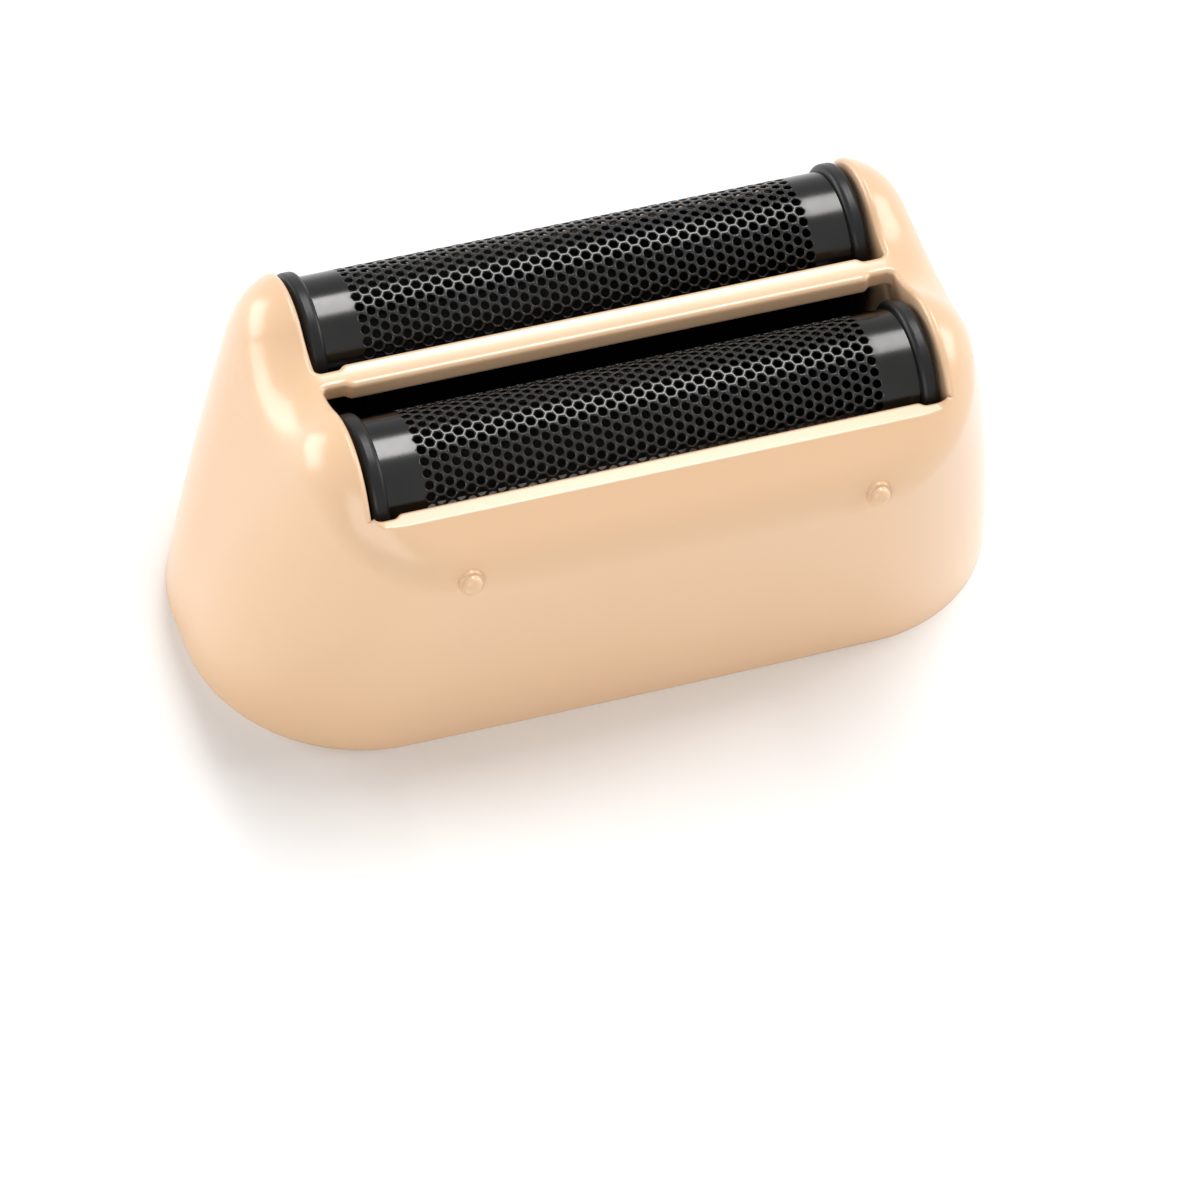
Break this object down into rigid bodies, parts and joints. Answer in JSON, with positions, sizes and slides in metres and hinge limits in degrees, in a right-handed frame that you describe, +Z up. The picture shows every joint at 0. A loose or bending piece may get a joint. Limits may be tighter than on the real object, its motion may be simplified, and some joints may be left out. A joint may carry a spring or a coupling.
{
  "type": "shaver foil head",
  "caption": "Twin-foil shaver head: a flared glossy housing with ears and a cross bar, holding two arched perforated foils in black flanged frames, open below for the cutters.",
  "frame": {"origin": "centre of the base rim, at the mouth of the socket for the shaver's neck", "axes": "+X along the foils, +Y from the front shoulder with the cap nubs to the steeper rear, +Z up through the foils"},
  "size_m": [0.0622, 0.0329, 0.0272],
  "materials": {
    "housing": "glossy moulded peach plastic",
    "foil": "thin steel sheet with a dark coating",
    "frame": "satin black moulded plastic",
    "carrier": "matt black moulded plastic"
  },
  "bodies": {
    "root": {"head_housing": "housing", "front_foil": "foil", "rear_foil": "foil", "front_foil_frame": "frame", "rear_foil_frame": "frame", "foil_carrier": "carrier"}
  },
  "joints": []
}
